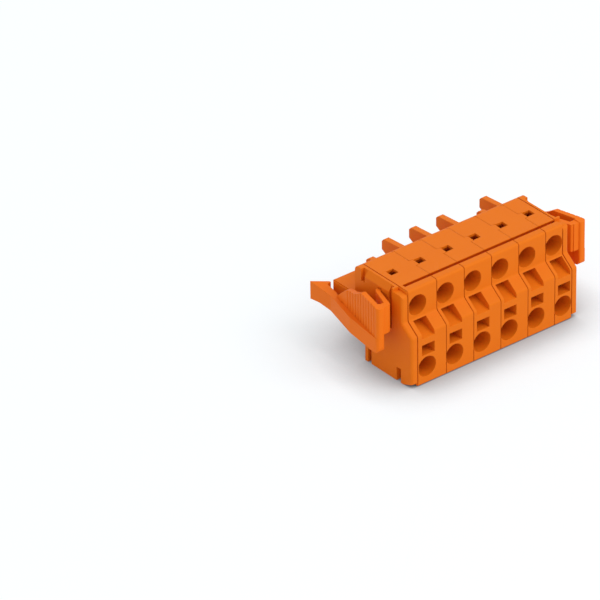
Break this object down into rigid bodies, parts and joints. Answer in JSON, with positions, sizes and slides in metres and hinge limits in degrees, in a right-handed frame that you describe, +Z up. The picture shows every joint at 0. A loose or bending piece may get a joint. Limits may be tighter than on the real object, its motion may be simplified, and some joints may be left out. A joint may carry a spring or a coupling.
{
  "type": "pluggable terminal block",
  "caption": "Pluggable spring-clamp terminal block in orange plastic, with stacked wire entries, a mating row of sockets behind and a sprung locking lever at each end.",
  "frame": {"origin": "middle of the footprint, on the plane of the end plates' feet", "axes": "+X along the row of poles, +Y towards the mating side, +Z up; wires enter from -Y"},
  "size_m": [0.0584, 0.032, 0.0223],
  "materials": {
    "housing_plastic": "satin moulded orange plastic",
    "lever_plastic": "satin moulded orange plastic",
    "contact_metal": "tinned copper alloy",
    "spring_steel": "rolled spring steel"
  },
  "bodies": {
    "housing": {"pole_housing_1": "housing_plastic", "pole_housing_2": "housing_plastic", "pole_housing_3": "housing_plastic", "pole_housing_4": "housing_plastic", "pole_housing_5": "housing_plastic", "pole_housing_6": "housing_plastic", "end_plate_left": "housing_plastic", "end_plate_right": "housing_plastic", "contact_1": "contact_metal", "contact_2": "contact_metal", "contact_3": "contact_metal", "contact_4": "contact_metal", "contact_5": "contact_metal", "contact_6": "contact_metal", "upper_spring_1": "spring_steel", "lower_spring_1": "spring_steel", "upper_spring_2": "spring_steel", "lower_spring_2": "spring_steel", "upper_spring_3": "spring_steel", "lower_spring_3": "spring_steel", "upper_spring_4": "spring_steel", "lower_spring_4": "spring_steel", "upper_spring_5": "spring_steel", "lower_spring_5": "spring_steel", "upper_spring_6": "spring_steel", "lower_spring_6": "spring_steel"},
    "lever_left_body": {"lever_left": "lever_plastic"},
    "lever_right_body": {"lever_right": "lever_plastic"},
    "upper_clamp_1": {"upper_cage_1": "spring_steel"},
    "lower_clamp_1": {"lower_cage_1": "spring_steel"},
    "upper_clamp_2": {"upper_cage_2": "spring_steel"},
    "lower_clamp_2": {"lower_cage_2": "spring_steel"},
    "upper_clamp_3": {"upper_cage_3": "spring_steel"},
    "lower_clamp_3": {"lower_cage_3": "spring_steel"},
    "upper_clamp_4": {"upper_cage_4": "spring_steel"},
    "lower_clamp_4": {"lower_cage_4": "spring_steel"},
    "upper_clamp_5": {"upper_cage_5": "spring_steel"},
    "lower_clamp_5": {"lower_cage_5": "spring_steel"},
    "upper_clamp_6": {"upper_cage_6": "spring_steel"},
    "lower_clamp_6": {"lower_cage_6": "spring_steel"}
  },
  "joints": [
    {"name": "lever_left_hinge", "type": "hinge", "parent": "housing", "child": "lever_left_body", "pos_m": [-0.02362, -0.0054, 0.0167], "axis": [0, 0, 1], "range_deg": [0, 8], "stiffness_Nm_per_rad": 0.05},
    {"name": "lever_right_hinge", "type": "hinge", "parent": "housing", "child": "lever_right_body", "pos_m": [0.02362, -0.0054, 0.0167], "axis": [0, 0, -1], "range_deg": [0, 8], "stiffness_Nm_per_rad": 0.05},
    {"name": "upper_clamp_1_slide", "type": "slide", "parent": "housing", "child": "upper_clamp_1", "axis": [0, 0, 1], "range_m": [0, 0.0022], "stiffness_N_per_m": 400, "deforming": ["upper_spring_1"]},
    {"name": "lower_clamp_1_slide", "type": "slide", "parent": "housing", "child": "lower_clamp_1", "axis": [0, 0, -1], "range_m": [0, 0.0022], "stiffness_N_per_m": 400, "deforming": ["lower_spring_1"]},
    {"name": "upper_clamp_2_slide", "type": "slide", "parent": "housing", "child": "upper_clamp_2", "axis": [0, 0, 1], "range_m": [0, 0.0022], "stiffness_N_per_m": 400, "deforming": ["upper_spring_2"]},
    {"name": "lower_clamp_2_slide", "type": "slide", "parent": "housing", "child": "lower_clamp_2", "axis": [0, 0, -1], "range_m": [0, 0.0022], "stiffness_N_per_m": 400, "deforming": ["lower_spring_2"]},
    {"name": "upper_clamp_3_slide", "type": "slide", "parent": "housing", "child": "upper_clamp_3", "axis": [0, 0, 1], "range_m": [0, 0.0022], "stiffness_N_per_m": 400, "deforming": ["upper_spring_3"]},
    {"name": "lower_clamp_3_slide", "type": "slide", "parent": "housing", "child": "lower_clamp_3", "axis": [0, 0, -1], "range_m": [0, 0.0022], "stiffness_N_per_m": 400, "deforming": ["lower_spring_3"]},
    {"name": "upper_clamp_4_slide", "type": "slide", "parent": "housing", "child": "upper_clamp_4", "axis": [0, 0, 1], "range_m": [0, 0.0022], "stiffness_N_per_m": 400, "deforming": ["upper_spring_4"]},
    {"name": "lower_clamp_4_slide", "type": "slide", "parent": "housing", "child": "lower_clamp_4", "axis": [0, 0, -1], "range_m": [0, 0.0022], "stiffness_N_per_m": 400, "deforming": ["lower_spring_4"]},
    {"name": "upper_clamp_5_slide", "type": "slide", "parent": "housing", "child": "upper_clamp_5", "axis": [0, 0, 1], "range_m": [0, 0.0022], "stiffness_N_per_m": 400, "deforming": ["upper_spring_5"]},
    {"name": "lower_clamp_5_slide", "type": "slide", "parent": "housing", "child": "lower_clamp_5", "axis": [0, 0, -1], "range_m": [0, 0.0022], "stiffness_N_per_m": 400, "deforming": ["lower_spring_5"]},
    {"name": "upper_clamp_6_slide", "type": "slide", "parent": "housing", "child": "upper_clamp_6", "axis": [0, 0, 1], "range_m": [0, 0.0022], "stiffness_N_per_m": 400, "deforming": ["upper_spring_6"]},
    {"name": "lower_clamp_6_slide", "type": "slide", "parent": "housing", "child": "lower_clamp_6", "axis": [0, 0, -1], "range_m": [0, 0.0022], "stiffness_N_per_m": 400, "deforming": ["lower_spring_6"]}
  ]
}
